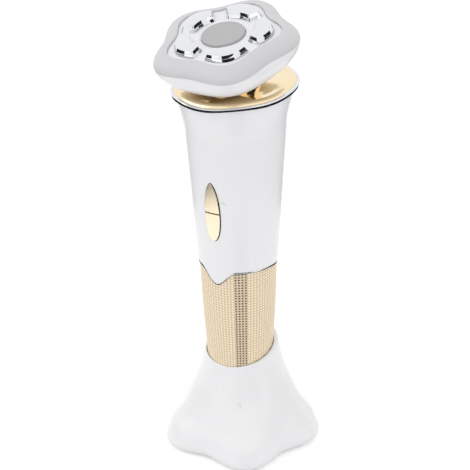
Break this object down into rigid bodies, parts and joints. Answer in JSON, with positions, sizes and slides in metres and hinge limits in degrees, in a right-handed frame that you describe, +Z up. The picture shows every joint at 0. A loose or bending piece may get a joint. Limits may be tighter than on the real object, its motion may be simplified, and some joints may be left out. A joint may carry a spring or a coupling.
{
  "type": "facial care device",
  "caption": "Cordless skin care wand with a five petal electrode head, two front buttons and a gold grip, standing in a flared charging base.",
  "frame": {"origin": "centre of the foot pad underside, on the axis of the handle, where the base meets the table", "axes": "+Z up along the handle, -Y the front with the buttons, +X to the right seen from behind the front, across the two buttons"},
  "size_m": [0.0722, 0.0707, 0.2038],
  "materials": {
    "white_shell": "glossy",
    "white_inner": "satin",
    "ivory_inner": "satin",
    "foot_rubber": "matte",
    "seal_rubber": "matte",
    "steel": "satin",
    "board_green": "satin",
    "black_plastic": "satin",
    "gold_contact": "polished",
    "light_guide": "translucent",
    "gold_sleeve": "satin, fine raised grid",
    "bright_chrome": "polished",
    "gold_mirror": "polished",
    "gold_button": "satin",
    "battery_sleeve": "shrink film",
    "red_lead": "satin",
    "copper_winding": "enamelled wire",
    "frosted_ring": "frosted",
    "grey_lens": "satin"
  },
  "bodies": {
    "stand": {"stand_shell": "white_shell", "stand_cup": "white_inner", "stand_base_plate": "white_shell", "stand_foot_pad": "foot_rubber", "stand_screws": "steel", "stand_board": "board_green", "inlet_shell": "steel", "inlet_tongue": "black_plastic", "charge_pin_barrels": "gold_contact", "stand_light": "light_guide"},
    "device": {"end_cap": "white_inner", "end_cap_seal": "seal_rubber", "end_cap_screws": "steel", "contact_pads": "gold_contact", "grip_sleeve": "gold_sleeve", "core_tube": "ivory_inner", "edge_line": "bright_chrome", "body_shell": "white_shell", "rim_band": "bright_chrome", "collar_plate": "gold_mirror", "neck_collar": "gold_mirror", "neck_tube": "ivory_inner", "neck_screws": "steel", "neck_nut": "steel", "bulkhead": "ivory_inner", "chassis": "ivory_inner", "battery_cell": "battery_sleeve", "battery_leads": "black_plastic", "charge_leads": "red_lead", "main_board": "board_green", "board_parts": "black_plastic", "board_screws": "steel", "rf_transformer": "copper_winding", "switch_bodies": "black_plastic", "button_guide": "ivory_inner", "body_light": "light_guide", "motor_case": "steel", "head_bowl": "white_shell", "light_ring": "frosted_ring", "face_plate": "white_shell", "electrode_1": "bright_chrome", "electrode_2": "bright_chrome", "electrode_3": "bright_chrome", "electrode_4": "bright_chrome", "electrode_5": "bright_chrome", "centre_lens": "grey_lens", "head_board": "board_green", "head_leds": "light_guide", "electrode_screws": "steel", "head_cable": "black_plastic"},
    "charge_pin_left": {"charge_pin_left": "gold_contact"},
    "charge_pin_right": {"charge_pin_right": "gold_contact"},
    "upper_button": {"button_upper": "gold_button", "switch_plunger_upper": "ivory_inner"},
    "lower_button": {"button_lower": "gold_button", "switch_plunger_lower": "ivory_inner"},
    "rotor": {"motor_rotor": "steel"}
  },
  "joints": [
    {"name": "device_lift", "type": "slide", "parent": "stand", "child": "device", "axis": [0, 0, 1], "range_m": [0, 0.06]},
    {"name": "upper_button_press", "type": "slide", "parent": "device", "child": "upper_button", "axis": [0, 1, 0], "range_m": [0, 0.0005], "stiffness_N_per_m": 900, "springref_m": -0.0006},
    {"name": "lower_button_press", "type": "slide", "parent": "device", "child": "lower_button", "axis": [0, 1, 0], "range_m": [0, 0.0005], "stiffness_N_per_m": 900, "springref_m": -0.0006},
    {"name": "left_pin_press", "type": "slide", "parent": "stand", "child": "charge_pin_left", "axis": [0, 0, -1], "range_m": [0, 0.0006], "stiffness_N_per_m": 300, "springref_m": -0.0005},
    {"name": "right_pin_press", "type": "slide", "parent": "stand", "child": "charge_pin_right", "axis": [0, 0, -1], "range_m": [0, 0.0006], "stiffness_N_per_m": 300, "springref_m": -0.0005},
    {"name": "rotor_spin", "type": "hinge", "parent": "device", "child": "rotor", "pos_m": [0, 0.0025, 0.12], "axis": [0, 0, 1], "continuous": true}
  ]
}
